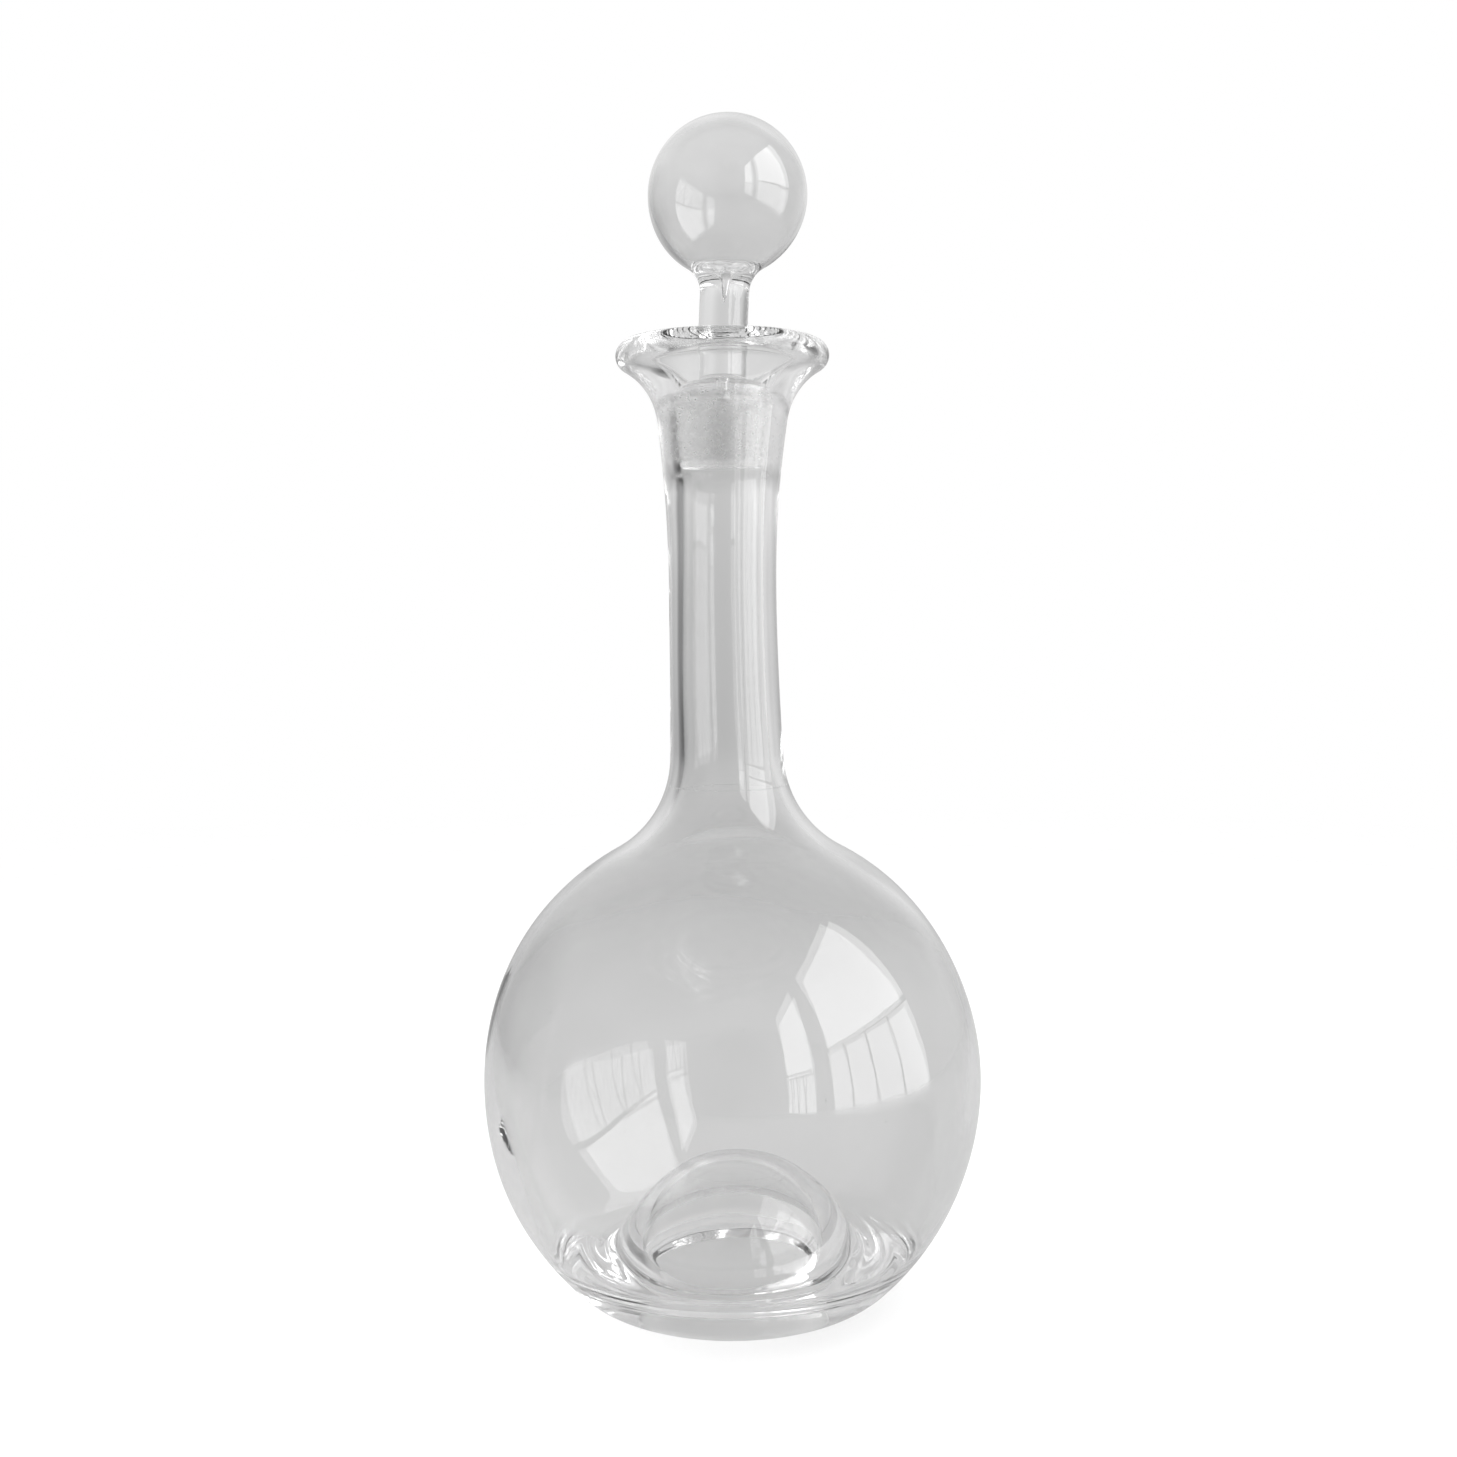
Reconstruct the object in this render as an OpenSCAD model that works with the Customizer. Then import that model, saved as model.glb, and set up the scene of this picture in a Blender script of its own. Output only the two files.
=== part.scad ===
// Hand-blown clear glass decanter with a hollow ball stopper.
// Units are millimetres, +Z is up, the origin is the centre of the contact ring on the table.
// Two real pieces: the blown bottle, and the ball, stem and ground plug that are one glass piece.

/* [Globe] */
// Greatest outside diameter of the globe
body_d = 128; // [124:0.5:136]
// Height of the greatest diameter above the table
equator_h = 57.7; // [56.5:0.1:59]
// How far the centre of the lower globe arc lies beyond the axis
lower_swell = 9; // [7:0.1:11]
// How far the centre of the upper globe arc lies beyond the axis
upper_swell = 3.2; // [2:0.1:5]
// Radius of the rounded heel between the table and the globe
heel_r = 20.8; // [18:0.1:23]
// Width of the flat ring that touches the table
ring_w = 2; // [1:0.1:4]
// Radius of the rounded edge between the ring and the hollow under the base
foot_r = 2.5; // [1.5:0.1:4]

/* [Neck] */
// Outside diameter at the narrowest part of the neck
waist_d = 27.3; // [26:0.1:29]
// Height of the narrowest part of the neck
waist_h = 182.7; // [176:0.1:190]
// Radius of the long curve from the waist down to the shoulder
neck_low_r = 1040; // [700:10:1400]
// Radius of the long curve from the waist up to the lip
neck_high_r = 318; // [280:1:360]
// Radius of the hollow curve where the neck meets the globe
root_r = 28.1; // [24:0.1:32]

/* [Lip] */
// Outside diameter of the rolled lip
lip_d = 54.2; // [52:0.1:56]
// Height of the top of the lip above the table
lip_h = 245.7; // [243:0.1:248]
// Radius of the rolled bead at the edge of the lip
bead_r = 3.9; // [3.6:0.1:4.2]
// Radius of the hollow curve under the lip
flare_r = 17.2; // [15:0.1:19]

/* [Wall] */
// Wall thickness at the equator and over the upper globe
wall = 2; // [1.6:0.1:2.6]
// How many degrees below the equator the wall starts to thicken towards the heel
thick_turn = 35; // [33:0.5:37]
// Lowest height the curve inside the heel would reach if it ran on down
floor_h = 12; // [11:0.1:13]
// Height of the top of the dome pushed up into the globe
dome_h = 36; // [31:0.1:40]
// Wall thickness at the top of the dome
dome_wall = 3; // [2:0.1:4.5]
// Radius of the inside curve where the bore opens into the globe
inner_root_r = 31; // [29:0.1:33]
// Bore diameter of the neck
bore_d = 19.7; // [19:0.1:20.2]
// Height from which the bore widens slowly down to the globe
bore_waist_h = 200; // [195:0.5:204]
// Radius of that slow widening
bore_low_r = 1200; // [900:10:1600]

/* [Ground seat] */
// Height of the lower end of the ground seat
seat_low_h = 213; // [211:0.1:215]
// Height of the upper end of the ground seat
seat_high_h = 233; // [232:0.1:234]
// Seat diameter at its lower end
seat_low_d = 21.2; // [21:0.1:21.6]
// Seat diameter at its upper end
seat_high_d = 24.9; // [24.6:0.1:25.2]
// Length of the eased step from the bore to the seat
throat_h = 3; // [2:0.1:5]
// Clearance between the ground plug and the seat, square to the taper
seat_gap = 0.05; // [0.02:0.01:0.1]

/* [Stopper] */
// Diameter of the hollow ball
ball_d = 40.2; // [38:0.1:44]
// Height of the centre of the ball above the table
ball_h = 281.7; // [279:0.1:285]
// Wall thickness of the ball
ball_wall = 1.5; // [1.2:0.1:2.2]
// Diameter of the solid stem
stem_d = 12.4; // [11.6:0.1:13]
// Radius of the hollow curve between ball and stem
ball_root_r = 7.5; // [6:0.1:9]
// Radius of the rounded shoulder of the plug
shoulder_r = 4.4; // [4:0.1:4.8]
// Size of the bevel round the bottom of the plug
plug_bevel = 0.8; // [0.5:0.1:1.2]
// Radius of the small curve between stem and plug
stem_root_r = 2.4; // [2:0.1:2.8]

/* [Trapped air] */
// Height of the tip of the air tail under the ball
tail_tip_h = 255; // [253:0.1:257]
// Diameter of the air tail where it leaves the ball
tail_d = 1.6; // [1.2:0.1:2.4]
// Radius of the hollow curve between the air in the ball and its tail
tail_root_r = 3.5; // [2.5:0.1:4.5]
// Diameter of the blunt tip of the tail
tip_d = 0.6; // [0.4:0.1:1]
// Diameter of the long bubble in the top of the plug
seed_d = 2.4; // [1.6:0.1:3]
// Height of the middle of the long bubble
seed_h = 233.6; // [233:0.1:234.4]
// Length of the straight part of the long bubble
seed_len = 2.6; // [1:0.1:3]

/* [Hidden] */
$fn = 240;
// Most an arc's straight steps may cut inside the true curve.
chord_gap = 0.01;
glass = [0.86, 0.89, 0.9, 0.35];

body_r = body_d / 2;
bead_c = [lip_d / 2 - bead_r, lip_h - bead_r];

// Outside of the bottle: every arc runs tangent into the next one.
low_c = [-lower_swell, equator_h];
low_r = body_r + lower_swell;
heel_c = [leg(low_r - heel_r, equator_h - heel_r) - lower_swell, heel_r];
up_c = [-upper_swell, equator_h];
up_r = body_r + upper_swell;
neck_low_c = [waist_d / 2 + neck_low_r, waist_h];
neck_high_c = [waist_d / 2 + neck_high_r, waist_h];
root_c = meet(up_c, up_r + root_r, neck_low_c, neck_low_r - root_r, 1);
flare_c = meet(bead_c, bead_r + flare_r, neck_high_c, neck_high_r - flare_r, -1);
ring_out = heel_c.x;
ring_in = ring_out - ring_w;
foot_c = [ring_in, foot_r];
// The hollow under the dome is a sphere that meets the rounded edge of the foot tangent.
punt_h = dome_h - dome_wall;
punt_r = (ring_in * ring_in + punt_h * punt_h) / (2 * punt_h) - foot_r;
punt_c = [0, punt_h - punt_r];

// Inside of the bottle.
in_up_r = up_r - wall;
in_low_r = low_r - wall;
in_heel_r = (equator_h - floor_h - in_low_r * sin(thick_turn)) / (1 - sin(thick_turn));
in_heel_c = low_c + (in_low_r - in_heel_r) * [cos(thick_turn), -sin(thick_turn)];
// The dome is a sphere that reaches dome_h and meets the curve inside the heel tangent.
rise = dome_h - in_heel_c.y;
dome_r = (in_heel_c.x ^ 2 + rise ^ 2 - in_heel_r ^ 2) / (2 * (in_heel_r + rise));
dome_c = [0, dome_h - dome_r];
bore_r = bore_d / 2;
bore_c = [bore_r + bore_low_r, bore_waist_h];
in_root_c = meet(up_c, in_up_r + inner_root_r, bore_c, bore_low_r - inner_root_r, 1);
throat_low = [bore_r, seat_low_h - throat_h];
seat_low = [seat_low_d / 2, seat_low_h];
seat_high = [seat_high_d / 2, seat_high_h];
seat_a = atan((seat_high.x - seat_low.x) / (seat_high.y - seat_low.y));
// Square to the seat's taper, pointing into the glass of the neck.
seat_n = [cos(seat_a), -sin(seat_a)];
// The funnel above the seat leaves the taper tangent and closes tangent on the bead.
to_bead = bead_c - seat_high;
funnel_r = (to_bead * to_bead - bead_r * bead_r) / (2 * (to_bead * seat_n - bead_r));
funnel_c = seat_high + funnel_r * seat_n;

// Stopper.
ball_r = ball_d / 2;
ball_c = [0, ball_h];
stem_r = stem_d / 2;
ball_root_c = [stem_r + ball_root_r, ball_h - leg(ball_r + ball_root_r, stem_r + ball_root_r)];
gap_r = seat_gap / cos(seat_a);
plug_low_r = seat_low.x - gap_r;
shoulder_c = [seat_high.x - gap_r - shoulder_r / cos(seat_a), seat_high_h];
stem_root_x = stem_r + stem_root_r;
stem_root_c = [stem_root_x, seat_high_h + leg(shoulder_r + stem_root_r, stem_root_x - shoulder_c.x)];
air_r = ball_r - ball_wall;
tail_r = tail_d / 2;
tail_root_c = [tail_r + tail_root_r, ball_h - leg(air_r + tail_root_r, tail_r + tail_root_r)];
tail_tip = [tip_d / 2, tail_tip_h];
// The tail's straight side runs tangent out of the root arc at this direction from its centre.
tail_a = way(tail_tip, tail_root_c) + asin(tail_root_r / norm(tail_root_c - tail_tip)) + 90;
seed_top_c = [0, seed_h + seed_len / 2];
seed_low_c = [0, seed_h - seed_len / 2];

// Other leg of a right triangle with this hypotenuse.
function leg(hyp, side) = sqrt(hyp * hyp - side * side);
// Direction from c to p in degrees, from 0 up to 360.
function way(c, p) = (atan2(p.y - c.y, p.x - c.x) + 360) % 360;
// Crossing of two circles about a and b, to the left (1) or right (-1) of the line from a to b.
// It is the centre of the arc that blends them.
function meet(a, ra, b, rb, side) =
    let (d = norm(b - a), along = (ra * ra - rb * rb + d * d) / (2 * d), u = (b - a) / d)
    a + along * u + side * leg(ra, along) * [-u.y, u.x];
// Points along an arc from one direction to another, in steps that keep to chord_gap.
function arc(c, r, from, to) =
    let (steps = max(2, ceil(abs(to - from) / (2 * acos(1 - chord_gap / r)))))
    [for (i = [0:steps]) let (a = from + (to - from) * i / steps) c + r * [cos(a), sin(a)]];
// The same arc without its first point, for joining on to the one before.
function on(c, r, from, to) = let (p = arc(c, r, from, to)) [for (i = [1:len(p) - 1]) p[i]];

// Outside, from the heel round the globe and up the neck to the crest of the lip.
bottle_outside = concat(
    arc(heel_c, heel_r, -90, way(low_c, heel_c) - 360),
    on(low_c, low_r, way(low_c, heel_c) - 360, 0),
    on(up_c, up_r, 0, way(up_c, root_c)),
    on(root_c, root_r, way(root_c, up_c), way(neck_low_c, root_c)),
    on(neck_low_c, neck_low_r, way(neck_low_c, root_c), 180),
    on(neck_high_c, neck_high_r, 180, way(neck_high_c, flare_c)),
    on(flare_c, flare_r, way(neck_high_c, flare_c), way(flare_c, bead_c)),
    on(bead_c, bead_r, way(bead_c, flare_c) - 360, way(funnel_c, bead_c))
);

// Inside, from the crest of the lip down the funnel, seat and bore to the top of the dome.
bottle_inside = concat(
    on(funnel_c, funnel_r, way(funnel_c, bead_c), 180 - seat_a),
    [seat_low, throat_low],
    arc(bore_c, bore_low_r, 180, way(bore_c, in_root_c)),
    on(in_root_c, inner_root_r, way(bore_c, in_root_c), way(in_root_c, up_c)),
    on(up_c, in_up_r, way(up_c, in_root_c), 0),
    on(low_c, in_low_r, 0, -thick_turn),
    on(in_heel_c, in_heel_r, -thick_turn, way(in_heel_c, dome_c) - 360),
    on(dome_c, dome_r, way(dome_c, in_heel_c), 90)
);

// Hollow under the dome, from the axis out to the contact ring.
bottle_punt = concat(
    arc(punt_c, punt_r, 90, atan2(foot_c.y - punt_c.y, foot_c.x)),
    on(foot_c, foot_r, way(foot_c, punt_c), 270)
);

// Blown bottle: globe, neck with ground seat, flared and rolled lip, ring base with pushed-up dome.
module bottle() {
    color(glass)
    rotate_extrude()
    polygon(concat(bottle_outside, bottle_inside, bottle_punt));
}

// Outside of the stopper, from the bottom of the plug up to the top of the ball.
stopper_outside = concat(
    [[0, seat_low_h], [plug_low_r - plug_bevel, seat_low_h]],
    [[plug_low_r + plug_bevel * tan(seat_a), seat_low_h + plug_bevel]],
    arc(shoulder_c, shoulder_r, -seat_a, way(shoulder_c, stem_root_c)),
    on(stem_root_c, stem_root_r, way(stem_root_c, shoulder_c), 180),
    arc(ball_root_c, ball_root_r, 180, way(ball_root_c, ball_c)),
    on(ball_c, ball_r, way(ball_c, ball_root_c) - 360, 90)
);

// Air in the ball and its tail, from the top of the ball down to the tip of the tail.
ball_air = concat(
    arc(ball_c, air_r, 90, way(ball_c, tail_root_c) - 360),
    on(tail_root_c, tail_root_r, way(tail_root_c, ball_c), tail_a),
    [tail_tip, [0, tail_tip_h]]
);

// Long bubble in the top of the plug, from its top down.
seed_air = concat(
    arc(seed_top_c, seed_d / 2, 90, 0),
    arc(seed_low_c, seed_d / 2, 0, -90)
);

// Ball stopper: hollow ball with an air tail, solid stem, and the ground plug that sits in the neck.
module ball_stopper() {
    color(glass)
    rotate_extrude()
    polygon(concat(stopper_outside, ball_air, seed_air));
}

bottle();
ball_stopper();
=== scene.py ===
"""Looks of a hand-blown clear glass decanter with a hollow ball stopper.

Both pieces are turned again from their CAD outlines, finer and with the small unevenness of
blown glass, and stand on a pale table beside a tall window with two sashes.
"""
import math

import bpy
import numpy as np
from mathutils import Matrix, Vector


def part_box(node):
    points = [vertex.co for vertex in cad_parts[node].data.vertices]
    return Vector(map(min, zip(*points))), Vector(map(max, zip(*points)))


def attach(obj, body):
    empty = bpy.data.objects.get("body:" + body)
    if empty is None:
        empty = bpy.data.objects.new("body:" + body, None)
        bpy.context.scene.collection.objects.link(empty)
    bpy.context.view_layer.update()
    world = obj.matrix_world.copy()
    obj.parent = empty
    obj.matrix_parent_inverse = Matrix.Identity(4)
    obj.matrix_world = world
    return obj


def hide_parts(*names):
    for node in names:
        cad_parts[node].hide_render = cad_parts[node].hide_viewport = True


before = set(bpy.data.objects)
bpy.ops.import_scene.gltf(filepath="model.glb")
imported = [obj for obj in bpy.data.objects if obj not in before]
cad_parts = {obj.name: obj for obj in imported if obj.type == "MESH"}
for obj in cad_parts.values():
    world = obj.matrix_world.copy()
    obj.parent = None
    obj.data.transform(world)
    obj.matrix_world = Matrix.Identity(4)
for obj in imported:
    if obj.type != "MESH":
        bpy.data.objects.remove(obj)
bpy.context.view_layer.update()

MM = 0.001
SEGMENTS = 256                       # steps round a turned piece
STEP = 2.5 * MM                      # longest step along an outline
STEP_ANGLE = math.radians(9)         # sharpest turn between two steps of a curve
SAME_POINT = 1e-7                    # metres
STRAIGHT = math.radians(0.03)        # a smaller turn means the point lies inside a straight step
CORNER = math.radians(1.5)           # tangents that disagree by more than this make a corner

COLOUR_A, COLOUR_B = 6, 7            # colour inputs of a Mix node
COLOUR_OUT = 2                       # colour output of a Mix node

BUBBLE_COUNT = 24
BUBBLE_DEPTH = 1 * MM                # half the thickness of the globe's wall
BUBBLE_SEGMENTS = 16

FLOOR_R = 4                          # metres
FLOOR_DROP = 0.05 * MM               # keeps the floor from touching the contact ring
WINDOW_X = 0.9                       # metres from the decanter to the window
SASHES = ((0.1, -1.03), (-1.37, -2.2))   # near and far edge of each sash, in y / WINDOW_X
UPRIGHTS = 3                         # bars in the lower part of each sash
EYE = (0, -0.44, 0.17413)            # metres
EYE_DOWN = math.radians(3.48)        # the camera looks down by this angle
EYE_ROLL = math.radians(0.45)
BOUNCES = 40

BOTTLE_LOW, BOTTLE_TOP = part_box("bottle")
STOPPER_LOW, STOPPER_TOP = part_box("ball_stopper")
LIP_H = BOTTLE_TOP.z
TOP_H = STOPPER_TOP.z
PLUG_LOW = STOPPER_LOW.z
PLUG_TOP = PLUG_LOW + 20 * MM        # top of the ground zone on the plug and in the seat
PLUG_R = 12.8 * MM                   # just wider than the ground zone, narrower than the neck outside
NOT_GROUND = -10 * MM                # depth given to points that are nowhere near the ground zone


# ---------------------------------------------------------------- outlines from the CAD

def seam_links(node):
    """Points of a turned CAD node on its seam, the half plane y = 0, x >= 0, and the links between them."""
    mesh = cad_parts[node].data
    on_seam = {}
    for vertex in mesh.vertices:
        if abs(vertex.co.y) < SAME_POINT and vertex.co.x > -SAME_POINT:
            on_seam[vertex.index] = complex(round(vertex.co.x, 7), round(vertex.co.z, 7))
    links = {point: set() for point in on_seam.values()}
    for edge in mesh.edges:
        a, b = (on_seam.get(index) for index in edge.vertices)
        if a is not None and b is not None and a != b:
            links[a].add(b)
            links[b].add(a)
    return links


def join_flats(links):
    """Flat faces have no seam: bridges a flat ring to its other edge, and a flat disc to the axis."""
    loose = [point for point in links if len(links[point]) == 1 and point.real > SAME_POINT]
    for point in loose:
        level = [other for other in loose if other != point and other.imag == point.imag]
        partner = level[0] if level else complex(0, point.imag)
        links[point].add(partner)
        links.setdefault(partner, set()).add(point)


def walk(links, start):
    """Points met on the way from one end on the axis to the other."""
    path = [start]
    last = None
    while True:
        ways = [point for point in links[path[-1]] if point != last]
        if not ways:
            return path
        last = path[-1]
        path.append(ways[0])


def unit(z):
    return z / abs(z)


def turn(a, b):
    """Angle between two directions."""
    return abs(math.atan2((b / a).imag, (b / a).real))


def without_fillers(path):
    """Drops the points that only split a straight step."""
    kept = [path[0]]
    for i in range(1, len(path) - 1):
        if turn(unit(path[i] - kept[-1]), unit(path[i + 1] - path[i])) > STRAIGHT:
            kept.append(path[i])
    return kept + [path[-1]]


def outlines(node):
    """Outlines of a turned CAD node, each from the axis back to the axis, the outside first."""
    links = seam_links(node)
    join_flats(links)
    found = []
    seen = set()
    for start in sorted((p for p in links if p.real < SAME_POINT), key=lambda p: p.imag):
        if start not in seen:
            path = walk(links, start)
            seen.update(path)
            found.append(without_fillers(path))
    found.sort(key=lambda path: -max(point.real for point in path))
    return found


# ---------------------------------------------------------------- smooth outlines

def middle_tangent(a, b, c):
    """Direction at b of the circle through a, b and c."""
    return unit(b - a) * unit(c - b) / unit(c - a)


def arc_end(a, b, tangent):
    """Direction at one end of the arc from a to b that has this direction at its other end."""
    return unit(b - a) ** 2 / tangent


def tangents(path):
    """Direction at each point, or None at a corner.

    The points lie on arcs and straights that run tangent into one another, so two of the
    estimates below agree at every smooth point, whichever side of a join it is on.
    """
    mirror = [-point.conjugate() for point in path]
    p = [mirror[2], mirror[1]] + path + [mirror[-2], mirror[-3]]
    found = []
    for i in range(2, len(p) - 2):
        before = arc_end(p[i - 1], p[i], middle_tangent(p[i - 2], p[i - 1], p[i]))
        after = arc_end(p[i], p[i + 1], middle_tangent(p[i], p[i + 1], p[i + 2]))
        middle = middle_tangent(p[i - 1], p[i], p[i + 1])
        arriving = unit(p[i] - p[i - 1])
        leaving = unit(p[i + 1] - p[i])
        pairs = [(before, after), (before, middle), (middle, after), (before, leaving), (arriving, after)]
        best = min(pairs, key=lambda pair: turn(*pair))
        found.append(unit(best[0] + best[1]) if turn(*best) < CORNER else None)
    return found


def smooth(path):
    """The outline again in fine steps: arcs stay round, straights stay straight, corners stay sharp."""
    if len(path) < 3:
        return path
    direction = tangents(path)
    fine = [path[0]]
    for i in range(len(path) - 1):
        a, b = path[i], path[i + 1]
        chord = unit(b - a)
        leave, arrive = direction[i], direction[i + 1]
        if leave is None:
            leave = arc_end(a, b, arrive) if arrive is not None else chord
        if arrive is None:
            arrive = arc_end(a, b, leave)
        steps = max(1, math.ceil(abs(b - a) / STEP), math.ceil(turn(leave, arrive) / STEP_ANGLE))
        for k in range(1, steps + 1):
            t = k / steps
            pull = abs(b - a) * t * (1 - t)
            line = a + (b - a) * t * t * (3 - 2 * t)
            fine.append(line + pull * ((1 - t) * leave - t * arrive))
    return fine


# ---------------------------------------------------------------- unevenness of blown glass

def smoothstep(x, start, end):
    t = np.clip((x - start) / (end - start), 0, 1)
    return t * t * (3 - 2 * t)


def neck_bow(z):
    """Sideways drift of the neck's centre line, which is not quite straight."""
    sway = -1.5 * MM * smoothstep(z, 0.42 * LIP_H, 0.74 * LIP_H)
    return sway + 0.5 * MM * smoothstep(z, 0.8 * LIP_H, LIP_H)


def stopper_bend(z):
    """Drift of the stopper's centre line: its plug follows the seat and its ball leans back."""
    return neck_bow(np.minimum(z, PLUG_TOP)) + 1.75 * MM * smoothstep(z, 0.78 * TOP_H, 0.94 * TOP_H)


def waves(points, seed, length, count=9):
    """Smooth unevenness between about -1 and 1, the same each run, with waves of about this length."""
    draw = np.random.RandomState(seed)
    total = np.zeros(len(points))
    for _ in range(count):
        way = draw.normal(size=3)
        way *= 2 * math.pi / (length * draw.uniform(0.7, 1.6) * np.linalg.norm(way))
        total += np.sin(points @ way + draw.uniform(0, 2 * math.pi))
    return total / math.sqrt(count)


def outward_share(points, normals):
    """1 where the glass faces away from the axis, 0 where it faces the axis, and between at an edge."""
    radius = np.maximum(np.hypot(points[:, 0], points[:, 1]), 1e-6)
    return 0.5 + 0.5 * (points[:, 0] * normals[:, 0] + points[:, 1] * normals[:, 1]) / radius


def free_share(z):
    """1 where the glass may be uneven, 0 on the foot and where plug and seat have to fit."""
    seat = smoothstep(z, PLUG_LOW - 8 * MM, PLUG_LOW) * (1 - smoothstep(z, PLUG_TOP, PLUG_TOP + 6 * MM))
    return (1 - seat) * smoothstep(z, 0.5 * MM, 8 * MM)


def uneven(points, normals, seed, outside, inside):
    """Pushes both faces of the wall in and out, each in its own waves and by its own depth."""
    share = outward_share(points, normals)
    height = outside * share * waves(points, seed, 55 * MM)
    height += inside * (1 - share) * waves(points, seed + 1, 32 * MM)
    return points + (height * free_share(points[:, 2]))[:, None] * normals


def bottle_shape(points, normals):
    """The bottle's wall is uneven and its neck drifts sideways."""
    moved = uneven(points, normals, 3, 0.1 * MM, 0.16 * MM)
    moved[:, 0] += neck_bow(points[:, 2])
    return moved


def stopper_shape(points, normals):
    """The ball's wall is more uneven inside than out, and the ball leans."""
    moved = uneven(points, normals, 8, 0.08 * MM, 0.25 * MM)
    moved[:, 0] += stopper_bend(points[:, 2])
    return moved


# ---------------------------------------------------------------- turned pieces

def turned(path, segments):
    """Vertices and faces of a path turned round the Z axis, with one vertex at each end on the axis."""
    angles = np.arange(segments) * (2 * math.pi / segments)
    inner = np.array(path[1:-1])
    x = np.outer(inner.real, np.cos(angles))
    y = np.outer(inner.real, np.sin(angles))
    z = np.outer(inner.imag, np.ones(segments))
    ring = np.stack([x, y, z], axis=2).reshape(-1, 3)
    ends = [[0, 0, path[0].imag], [0, 0, path[-1].imag]]
    vertices = np.vstack([ends, ring])
    faces = []
    last = 2 + (len(inner) - 1) * segments
    for k in range(segments):
        n = (k + 1) % segments
        faces.append((0, 2 + n, 2 + k))
        faces.append((1, last + k, last + n))
        for i in range(len(inner) - 1):
            row = 2 + i * segments
            faces.append((row + k, row + n, row + segments + n, row + segments + k))
    return vertices, faces


def outward(path, is_hollow):
    """The path in the order that makes turned() face out of the glass: up the outside, down a hollow."""
    area = sum(a.real * b.imag - b.real * a.imag for a, b in zip(path, path[1:]))
    anticlockwise = area > 0
    return path if anticlockwise != is_hollow else path[::-1]


def joined(shells):
    """One list of vertices and one of faces from several closed shells."""
    vertices = np.vstack([points for points, _ in shells])
    faces = []
    base = 0
    for points, loops in shells:
        faces += [tuple(base + index for index in loop) for loop in loops]
        base += len(points)
    return vertices, faces


def shell_mesh(name, shells):
    """One smooth mesh from several closed shells."""
    vertices, faces = joined(shells)
    mesh = bpy.data.meshes.new(name)
    mesh.from_pydata(vertices.tolist(), [], faces)
    mesh.shade_smooth()
    return mesh


def bubble(centre, radius):
    """A small bubble of air in the wall, drawn out upwards."""
    half = [radius * complex(math.sin(a), -1.7 * math.cos(a)) for a in np.linspace(0, math.pi, 9)]
    points, faces = turned(outward(half, True), BUBBLE_SEGMENTS)
    return points + centre, faces


def wall_bubbles(points, normals, count):
    """Bubbles in the middle of the globe's wall, at random places that are the same each run."""
    draw = np.random.RandomState(21)
    height = points[:, 2] / LIP_H
    on_globe = np.flatnonzero((outward_share(points, normals) > 0.8) & (height > 0.14) & (height < 0.42))
    chosen = draw.choice(on_globe, count, replace=False) if count else []
    return [bubble(points[i] - BUBBLE_DEPTH * normals[i], draw.uniform(0.05, 0.16) * MM) for i in chosen]


def ground_depth(points):
    """How far each point lies below the top of the ground zone. Points outside the neck are not ground."""
    radius = np.hypot(points[:, 0], points[:, 1])
    return np.where(radius < PLUG_R, PLUG_TOP - points[:, 2], NOT_GROUND)


def point_normals(shells):
    """Normals of the points of these shells, from a mesh that is thrown away again."""
    mesh = shell_mesh("plain", shells)
    normals = np.array([vertex.normal for vertex in mesh.vertices])
    bpy.data.meshes.remove(mesh)
    return normals


def glass_piece(name, node, body, shape, material, bubbles):
    """A CAD node's outlines turned into one smooth mesh, its points then moved by shape."""
    shells = [turned(outward(smooth(path), number > 0), SEGMENTS)
              for number, path in enumerate(outlines(node))]
    points, faces = joined(shells)
    normals = point_normals(shells)
    moved = shape(points, normals)
    mesh = shell_mesh(name, [(moved, faces)] + wall_bubbles(moved, normals, bubbles))
    depth = np.full(len(mesh.vertices), NOT_GROUND)
    depth[:len(points)] = ground_depth(points)
    mesh.attributes.new("ground_depth", "FLOAT", "POINT").data.foreach_set("value", depth)
    mesh.materials.append(material)
    piece = bpy.data.objects.new(name, mesh)
    bpy.context.scene.collection.objects.link(piece)
    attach(piece, body)
    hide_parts(node)
    piece.visible_shadow = False
    return piece


# ---------------------------------------------------------------- materials

def noise(tree, place, scale, detail):
    """A noise texture over these places, in features of about 1/scale metres."""
    texture = tree.nodes.new("ShaderNodeTexNoise")
    texture.inputs["Scale"].default_value = scale
    texture.inputs["Detail"].default_value = detail
    tree.links.new(place, texture.inputs["Vector"])
    return texture.outputs["Fac"]


def span(tree, value, low, high, to_low, to_high):
    """The value between low and high spread over to_low and to_high, and held beyond them."""
    spread = tree.nodes.new("ShaderNodeMapRange")
    spread.inputs["From Min"].default_value = low
    spread.inputs["From Max"].default_value = high
    spread.inputs["To Min"].default_value = to_low
    spread.inputs["To Max"].default_value = to_high
    tree.links.new(value, spread.inputs["Value"])
    return spread.outputs["Result"]


def maths(tree, operation, *values):
    """The result of a Math node whose inputs are sockets or plain numbers."""
    node = tree.nodes.new("ShaderNodeMath")
    node.operation = operation
    for socket, value in zip(node.inputs, values):
        if isinstance(value, (int, float)):
            socket.default_value = value
        else:
            tree.links.new(value, socket)
    return node.outputs["Value"]


def towards(tree, way, direction):
    """How far each way points in this direction."""
    product = tree.nodes.new("ShaderNodeVectorMath")
    product.operation = "DOT_PRODUCT"
    product.inputs[1].default_value = direction
    tree.links.new(way, product.inputs[0])
    return product.outputs["Value"]


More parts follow.
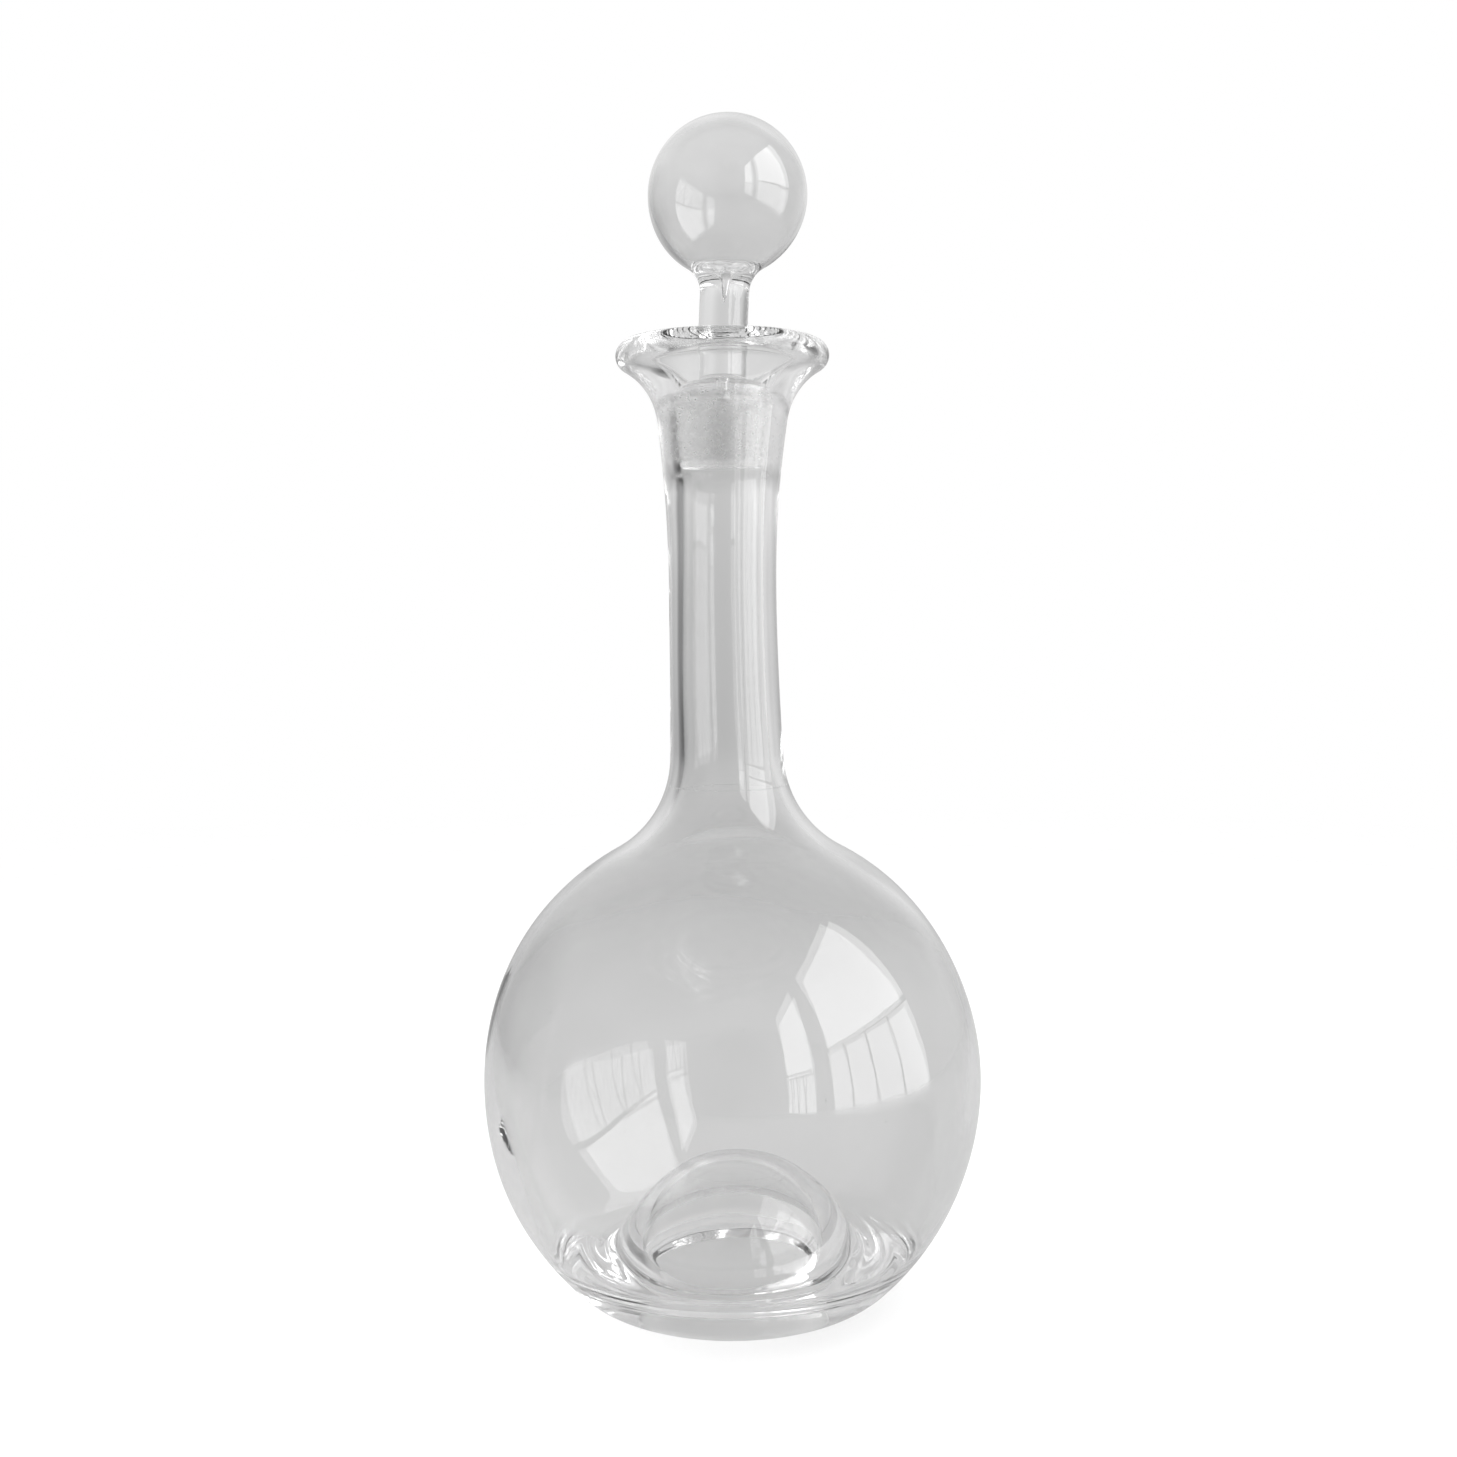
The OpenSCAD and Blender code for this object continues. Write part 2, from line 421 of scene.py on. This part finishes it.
def stretched(tree, place, scale):
    """These places scaled along each axis: a texture over them is drawn out where the scale is small."""
    mapping = tree.nodes.new("ShaderNodeMapping")
    mapping.inputs["Scale"].default_value = scale
    tree.links.new(place, mapping.inputs["Vector"])
    return mapping.outputs["Vector"]


def grey(value):
    return (value, value, value, 1)


def mixed(tree, factor, first, second):
    """The first colour where the factor is 0 and the second where it is 1. Each is a socket or a grey."""
    mix = tree.nodes.new("ShaderNodeMix")
    mix.data_type = "RGBA"
    tree.links.new(factor, mix.inputs["Factor"])
    for number, colour in ((COLOUR_A, first), (COLOUR_B, second)):
        if isinstance(colour, (int, float)):
            mix.inputs[number].default_value = grey(colour)
        else:
            tree.links.new(colour, mix.inputs[number])
    return mix.outputs[COLOUR_OUT]


def ground_share(tree, place):
    """1 on the ground zone of plug and seat, 0 off it, with an edge that wanders by half a millimetre."""
    attribute = tree.nodes.new("ShaderNodeAttribute")
    attribute.attribute_name = "ground_depth"
    wander = span(tree, noise(tree, place, 400, 3), 0.3, 0.7, -0.5 * MM, 0.5 * MM)
    depth = maths(tree, "ADD", attribute.outputs["Fac"], wander)
    below_top = span(tree, depth, -0.2 * MM, 0.5 * MM, 0, 1)
    above_end = span(tree, depth, 17.6 * MM, 18.4 * MM, 1, 0)
    return maths(tree, "MULTIPLY", below_top, above_end)


def glass_tint(tree, place, ground):
    """Iron in the batch tints the glass unevenly, and the ground zone passes less light."""
    clear = mixed(tree, noise(tree, place, 25, 2), 0.93, 0.96)
    return mixed(tree, ground, clear, 0.76)


def glass_roughness(tree, place, ground):
    """Handling leaves patches that are a trace less than mirror smooth. The ground zone is matt."""
    film = span(tree, noise(tree, place, 60, 4), 0.55, 0.8, 0, 0.02)
    grind = span(tree, noise(tree, place, 900, 2), 0.3, 0.7, 0.14, 0.3)
    return maths(tree, "ADD", maths(tree, "MULTIPLY", ground, grind), film)


def glass_height(tree, place, ground):
    """Cords run up the blown wall, and the wheel leaves fine rings on the ground zone. In millimetres."""
    cords = noise(tree, stretched(tree, place, (1, 1, 0.2)), 450, 2)
    dips = noise(tree, place, 110, 1)
    rings = noise(tree, stretched(tree, place, (0.15, 0.15, 1)), 5000, 2)
    blown = maths(tree, "MULTIPLY_ADD", cords, 0.003, maths(tree, "MULTIPLY", dips, 0.02))
    wheel = maths(tree, "MULTIPLY", maths(tree, "MULTIPLY", rings, ground), 0.03)
    return maths(tree, "ADD", blown, wheel)


def clear_glass():
    """Fire-polished glass, with a ground zone on the plug and in its seat."""
    material = bpy.data.materials.new("clear_glass_blown")
    material.use_nodes = True
    tree = material.node_tree
    shader = tree.nodes["Principled BSDF"]
    shader.inputs["IOR"].default_value = 1.5
    shader.inputs["Transmission Weight"].default_value = 1
    place = tree.nodes.new("ShaderNodeTexCoord").outputs["Object"]
    ground = ground_share(tree, place)
    bump = tree.nodes.new("ShaderNodeBump")
    bump.inputs["Strength"].default_value = 1
    bump.inputs["Distance"].default_value = 1 * MM
    tree.links.new(glass_height(tree, place, ground), bump.inputs["Height"])
    tree.links.new(glass_tint(tree, place, ground), shader.inputs["Base Color"])
    tree.links.new(glass_roughness(tree, place, ground), shader.inputs["Roughness"])
    tree.links.new(bump.outputs["Normal"], shader.inputs["Normal"])
    return material


def in_glass(tree, plain, toned):
    """A colour that is plain to the camera and the lamps, and toned where it is seen by way of the glass.

    The camera sees a white studio, and the glass a greyer one, which gives clear glass a body.
    """
    ray = tree.nodes.new("ShaderNodeLightPath")
    by_glass = maths(tree, "MAXIMUM", ray.outputs["Is Glossy Ray"], ray.outputs["Is Transmission Ray"])
    return mixed(tree, by_glass, plain, toned)


def pale_floor():
    """Matt white that fades into the white of the studio some way out, so that no horizon shows."""
    material = bpy.data.materials.new("pale_floor")
    material.use_nodes = True
    tree = material.node_tree
    shader = tree.nodes["Principled BSDF"]
    shader.inputs["Roughness"].default_value = 0.9
    shader.inputs["Specular IOR Level"].default_value = 0
    tree.links.new(in_glass(tree, 0.96, 0.55), shader.inputs["Base Color"])
    reach = tree.nodes.new("ShaderNodeVectorMath")
    reach.operation = "LENGTH"
    tree.links.new(tree.nodes.new("ShaderNodeNewGeometry").outputs["Position"], reach.inputs[0])
    fade = span(tree, reach.outputs["Value"], 0.3, 1.2, 1, 0)
    fade.node.interpolation_type = "SMOOTHSTEP"
    tree.links.new(fade, shader.inputs["Alpha"])
    return material


# ---------------------------------------------------------------- studio

def studio_floor():
    bpy.ops.mesh.primitive_circle_add(vertices=128, radius=FLOOR_R, fill_type="NGON")
    floor = bpy.context.object
    floor.name = "studio_floor"
    floor.location.z = -FLOOR_DROP
    floor.data.materials.append(pale_floor())


def studio_light():
    """White all round for the camera. The glass sees a room instead.

    The room is lighter above the horizon and towards the window, has large soft patches, and is
    darker in its far left corner and behind the camera.
    """
    world = bpy.data.worlds.new("studio")
    bpy.context.scene.world = world
    world.use_nodes = True
    tree = world.node_tree
    way = tree.nodes.new("ShaderNodeTexCoord").outputs["Generated"]
    lit = span(tree, towards(tree, way, (0.2, 0, 1)), -0.3, 0.25, 0.2, 0.56)
    corner = span(tree, towards(tree, way, (-0.87, 0.49, 0.1)), 0.9, 0.98, 0, 0.3)
    front = span(tree, towards(tree, way, (0, -0.99, 0.15)), 0.92, 1, 0, 0.2)
    patchy = maths(tree, "MULTIPLY_ADD", noise(tree, way, 2.2, 1), 0.4, lit)
    room = maths(tree, "SUBTRACT", patchy, maths(tree, "ADD", corner, front))
    tree.links.new(in_glass(tree, 1, room), tree.nodes["Background"].inputs["Color"])


def softbox(name, centre, width, height, power):
    """A lamp the shape of a window pane, which shines along -X."""
    light = bpy.data.lights.new(name, "AREA")
    light.shape = "RECTANGLE"
    light.size = width
    light.size_y = height
    light.energy = power
    lamp = bpy.data.objects.new(name, light)
    lamp.location = centre
    lamp.rotation_euler = Vector((1, 0, 0)).to_track_quat("Z", "Y").to_euler()
    lamp.visible_camera = False
    bpy.context.scene.collection.objects.link(lamp)


def window_bar(name, start, end, width, paint):
    """A flat bar just inside the window, from start to end, each given as (y, z)."""
    length = math.dist(start, end)
    slant = math.atan2(end[1] - start[1], end[0] - start[0])
    middle = (WINDOW_X - 0.02, (start[0] + end[0]) / 2, (start[1] + end[1]) / 2)
    bpy.ops.mesh.primitive_cube_add(size=1, location=middle, rotation=(slant, 0, 0))
    bar = bpy.context.object
    bar.name = name
    bar.scale = (0.01, length, width)
    bar.data.materials.append(paint)
    bar.visible_camera = False


def window():
    """Two tall sashes beside the decanter. Their lower panes are dimmer and lie behind thin bars."""
    paint = bpy.data.materials.new("window_paint")
    paint.use_nodes = True
    paint.node_tree.nodes["Principled BSDF"].inputs["Base Color"].default_value = grey(0.4)
    low, middle, high = (WINDOW_X * share for share in (-0.08, 0.46, 1.52))
    slant = 0.04
    for number, edges in enumerate(SASHES):
        near, far = (WINDOW_X * share for share in edges)
        width = near - far
        for level, bottom, top, brightness in (("low", low, middle, 11), ("high", middle, high, 15)):
            centre = (WINDOW_X, (near + far) / 2, (bottom + top) / 2)
            power = brightness * width * (top - bottom) / 1.6
            softbox(f"window_{level}_{number}", centre, width, top - bottom, power)
        window_bar(f"cross_bar_{number}", (near, middle - slant), (far, middle + slant), 0.03, paint)
        for step in range(1, UPRIGHTS + 1):
            y = near - width * step / (UPRIGHTS + 1)
            window_bar(f"upright_{number}_{step}", (y, low), (y, middle), 0.015, paint)


def camera():
    data = bpy.data.cameras.new("view")
    data.sensor_width = 36
    data.lens = 42.41
    eye = bpy.data.objects.new("view", data)
    eye.location = EYE
    eye.rotation_euler = (math.pi / 2 - EYE_DOWN, EYE_ROLL, 0)
    bpy.context.scene.collection.objects.link(eye)
    bpy.context.scene.camera = eye


def light_paths():
    """Light crosses many surfaces in a thick base, and turns back inside the glass many times."""
    cycles = bpy.context.scene.cycles
    cycles.max_bounces = BOUNCES
    cycles.glossy_bounces = BOUNCES
    cycles.transmission_bounces = BOUNCES


bpy.context.scene.view_settings.view_transform = "Standard"
light_paths()
glass = clear_glass()
glass_piece("blown_bottle", "bottle", "bottle", bottle_shape, glass, BUBBLE_COUNT)
glass_piece("blown_ball_stopper", "ball_stopper", "stopper", stopper_shape, glass, 0)
studio_floor()
studio_light()
window()
camera()
